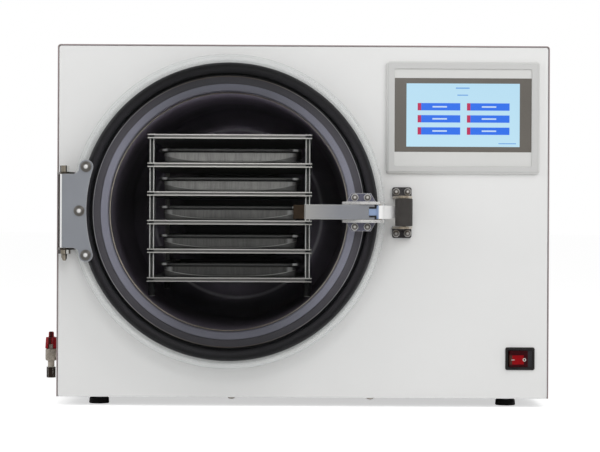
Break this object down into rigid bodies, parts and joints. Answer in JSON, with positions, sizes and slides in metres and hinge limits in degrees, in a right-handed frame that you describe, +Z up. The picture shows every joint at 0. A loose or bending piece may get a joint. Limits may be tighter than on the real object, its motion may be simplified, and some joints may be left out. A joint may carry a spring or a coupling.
{
  "type": "freeze dryer",
  "caption": "Bench-top vacuum freeze dryer: a white steel cabinet with a round drum behind a clear hinged door, trays on heated shelves, a touch screen, a rocker switch and a drain tap.",
  "frame": {"origin": "on the table under the middle of the whole machine, with its door fittings, vacuum port and drain tap counted", "axes": "+Z up, the front with the door faces -Y, +X is the operator's right"},
  "size_m": [0.6794, 0.6208, 0.474],
  "materials": {
    "enamel": "smooth white powder coat",
    "casing": "fine-grained light grey powder coat",
    "galvanised": "dull galvanised sheet",
    "stainless": "brushed stainless steel",
    "drum_steel": "satin stainless steel",
    "shelf_metal": "matt anodised aluminium",
    "polished": "bright nickel plating",
    "hinge_steel": "satin steel",
    "copper": "drawn copper tube",
    "black_rubber": "smooth moulded rubber",
    "seal_rubber": "smooth moulded silicone rubber",
    "clear_acrylic": "polished clear acrylic",
    "screen_glass": "dark printed border under glass",
    "display": "lit colour display",
    "white_plastic": "fine-textured white moulding",
    "black_plastic": "matt black moulding",
    "red_plastic": "glossy red moulding",
    "blue_plastic": "glossy grey-blue moulding",
    "grip_plastic": "dark brown moulding",
    "foam": "rigid insulating foam",
    "black_enamel": "gloss black enamel",
    "roller_plastic": "dark grey turned plastic",
    "circuit": "green circuit board"
  },
  "bodies": {
    "cabinet": {"base_tray": "galvanised", "front_panel": "enamel", "case_cover": "casing", "rear_panel": "casing", "foot_pads": "black_rubber", "foot_studs": "polished", "chamber_drum": "drum_steel", "door_seal": "seal_rubber", "evaporator_coil": "copper", "insulation_jacket": "foam", "chamber_cradles": "galvanised", "vacuum_port": "stainless", "rack_uprights": "shelf_metal", "rack_feet": "black_rubber", "hmi_housing": "white_plastic", "hmi_glass": "screen_glass", "hmi_display": "display", "hmi_clamps": "black_plastic", "switch_housing": "black_plastic", "drain_gland": "polished", "drain_valve": "polished", "drain_pipe": "copper", "hinge_bracket": "hinge_steel", "hinge_pin": "black_plastic", "panel_screws": "polished", "keeper_ears": "hinge_steel", "keeper_pin": "polished", "compressor": "black_enamel", "compressor_grommets": "black_rubber", "condenser": "shelf_metal", "fan_housing": "black_plastic", "divider": "galvanised", "control_board": "circuit", "power_supply": "galvanised", "power_inlet": "black_plastic", "refrigerant_lines": "copper", "shelf_1": "shelf_metal", "shelf_2": "shelf_metal", "shelf_3": "shelf_metal", "shelf_4": "shelf_metal", "shelf_5": "shelf_metal", "shelf_6": "shelf_metal", "tray_1": "stainless", "tray_2": "stainless", "tray_3": "stainless", "tray_4": "stainless", "tray_5": "stainless"},
    "door": {"door_disc": "clear_acrylic", "hinge_leaf": "hinge_steel", "hinge_bolts": "polished", "latch_ears": "hinge_steel", "latch_screws": "polished", "latch_pin": "polished"},
    "latch": {"latch_lever": "hinge_steel", "latch_grip": "grip_plastic", "latch_tongue": "blue_plastic"},
    "roller": {"keeper_roller": "roller_plastic"},
    "rocker": {"switch_rocker": "red_plastic"},
    "drain_tap": {"drain_handle": "red_plastic"},
    "fan": {"fan_impeller": "black_plastic"}
  },
  "joints": [
    {"name": "door_hinge", "type": "hinge", "parent": "cabinet", "child": "door", "pos_m": [-0.29042, -0.28376, 0.25502], "axis": [0, 0, -1], "range_deg": [0, 150]},
    {"name": "latch_pivot", "type": "hinge", "parent": "door", "child": "latch", "pos_m": [0.11572, -0.30446, 0.25502], "axis": [0, 0, 1], "range_deg": [0, 22]},
    {"name": "roller_spin", "type": "hinge", "parent": "cabinet", "child": "roller", "pos_m": [0.14642, -0.29546, 0.25502], "axis": [0, 0, 1], "continuous": true},
    {"name": "power_rocker", "type": "hinge", "parent": "cabinet", "child": "rocker", "pos_m": [0.30222, -0.23946, 0.0644], "axis": [0, 0, -1], "range_deg": [0, 18]},
    {"name": "drain_turn", "type": "hinge", "parent": "cabinet", "child": "drain_tap", "pos_m": [-0.33132, -0.07946, 0.057], "axis": [0, 0, 1], "range_deg": [0, 90]},
    {"name": "fan_spin", "type": "hinge", "parent": "cabinet", "child": "fan", "pos_m": [0.22592, 0.26004, 0.122], "axis": [0, 1, 0], "continuous": true}
  ]
}
